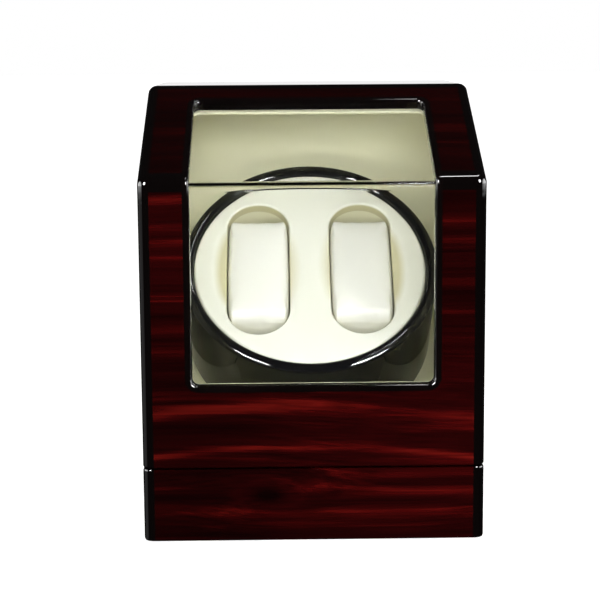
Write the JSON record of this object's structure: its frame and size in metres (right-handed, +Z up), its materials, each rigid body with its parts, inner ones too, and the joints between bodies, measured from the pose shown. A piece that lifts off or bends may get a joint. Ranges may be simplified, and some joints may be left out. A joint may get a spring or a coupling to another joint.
{
  "type": "watch winder box",
  "caption": "Lacquered wood-veneer watch winder: a hinged lid with a bent clear window over a motor-driven tilted drum with two removable cream watch pillows.",
  "frame": {"origin": "centre of the felt pad's underside, on the surface that the box stands on", "axes": "+Z up, -Y out of the front with the window, +X to the right as seen from the front"},
  "size_m": [0.18, 0.194, 0.237],
  "materials": {
    "veneer_lacquer": "gloss",
    "raw_board": "matte",
    "felt": "matte",
    "cream_leather": "satin",
    "acrylic": "gloss",
    "black_gloss": "gloss",
    "black_plastic": "matte",
    "white_plastic": "satin",
    "steel": "satin",
    "brass": "satin",
    "rubber": "matte",
    "circuit": "satin"
  },
  "bodies": {
    "base": {"felt_pad": "felt", "base_frame": "veneer_lacquer", "base_bottom_board": "raw_board", "base_screw_1": "steel", "base_screw_2": "steel", "base_screw_3": "steel", "base_screw_4": "steel", "base_deck": "cream_leather", "base_magnet": "steel", "control_board": "circuit", "selector_switch": "black_plastic", "dc_jack": "black_plastic", "jack_nut": "steel", "motor_lead": "rubber", "power_lead": "rubber", "platform_board": "cream_leather", "platform_cheek_left": "cream_leather", "platform_cheek_right": "cream_leather", "platform_back": "cream_leather", "bearing_housing": "black_plastic", "front_bush": "brass", "rear_bush": "brass", "housing_screw_1": "steel", "housing_screw_2": "steel", "motor_bracket": "steel", "bracket_screw_1": "steel", "bracket_screw_2": "steel", "motor_gearbox": "steel", "motor_can": "steel", "drive_belt": "rubber", "hinge_left_base_leaf": "brass", "hinge_left_pin": "steel", "hinge_right_base_leaf": "brass", "hinge_right_pin": "steel"},
    "lid": {"lid_shell": "veneer_lacquer", "window_pane": "acrylic", "lining_front": "cream_leather", "lining_back": "cream_leather", "lining_top": "cream_leather", "lining_left": "cream_leather", "lining_right": "cream_leather", "lid_magnet": "steel", "hinge_left_lid_leaf": "brass", "hinge_right_lid_leaf": "brass"},
    "turntable": {"drum_shell": "black_gloss", "drum_bezel": "black_gloss", "insert_disc": "cream_leather", "pocket_left": "cream_leather", "pocket_right": "cream_leather", "drum_shaft": "steel", "hub_nut": "steel", "drum_pulley": "white_plastic", "shaft_clip": "steel"},
    "motor_rotor": {"motor_shaft": "steel", "motor_pulley": "white_plastic"},
    "pillow_left": {"pillow_pad_left": "cream_leather", "pillow_core_left": "white_plastic"},
    "pillow_right": {"pillow_pad_right": "cream_leather", "pillow_core_right": "white_plastic"},
    "selector": {"selector_knob": "black_gloss"}
  },
  "joints": [
    {"name": "lid_hinge", "type": "hinge", "parent": "base", "child": "lid", "pos_m": [0, 0.093, 0.0397], "axis": [-1, 0, 0], "range_deg": [0, 95]},
    {"name": "drum_spin", "type": "hinge", "parent": "base", "child": "turntable", "pos_m": [0, -0.018, 0.1365], "axis": [0, -0.7071, 0.7071], "continuous": true},
    {"name": "motor_spin", "type": "hinge", "parent": "base", "child": "motor_rotor", "pos_m": [-0.046, -0.02224, 0.13226], "axis": [0, -0.7071, 0.7071], "continuous": true},
    {"name": "pillow_left_pull", "type": "slide", "parent": "turntable", "child": "pillow_left", "axis": [0, -0.7071, 0.7071], "range_m": [0, 0.045]},
    {"name": "pillow_right_pull", "type": "slide", "parent": "turntable", "child": "pillow_right", "axis": [0, -0.7071, 0.7071], "range_m": [0, 0.045]},
    {"name": "selector_turn", "type": "hinge", "parent": "base", "child": "selector", "pos_m": [-0.03, 0.09, 0.021], "axis": [0, 1, 0], "range_deg": [0, 135]}
  ],
  "couplings": [
    {"joint": "motor_spin", "follows": "drum_spin", "ratio": 4}
  ]
}
